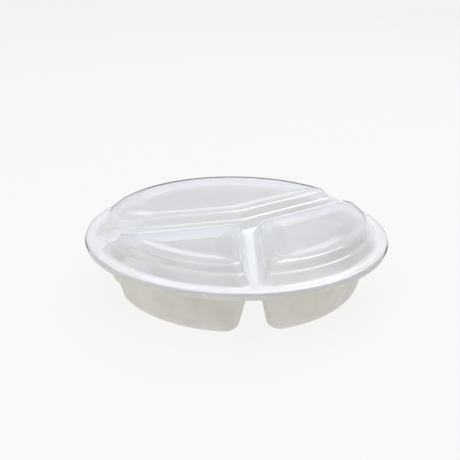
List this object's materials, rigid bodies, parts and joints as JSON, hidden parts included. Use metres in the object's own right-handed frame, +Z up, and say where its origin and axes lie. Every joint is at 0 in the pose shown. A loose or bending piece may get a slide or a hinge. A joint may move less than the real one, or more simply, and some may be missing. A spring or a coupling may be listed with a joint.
{
  "type": "food container",
  "caption": "Round takeaway container: a moulded-fibre tray with three tapered compartments under a clear lid with matching domes.",
  "frame": {"origin": "under the centre of the rim, on the surface that the tray's compartments stand on", "axes": "+Z up through the lid; -Y towards the groove between the two front compartments; +X to the right seen from there"},
  "size_m": [0.23, 0.23, 0.056],
  "materials": {
    "moulded_fibre": "matte",
    "clear_plastic": "gloss"
  },
  "bodies": {
    "tray": {"tray": "moulded_fibre"},
    "lid": {"lid": "clear_plastic"}
  },
  "joints": [
    {"name": "lid_lift", "type": "slide", "parent": "tray", "child": "lid", "axis": [0, 0, 1], "range_m": [0, 0.08]}
  ]
}
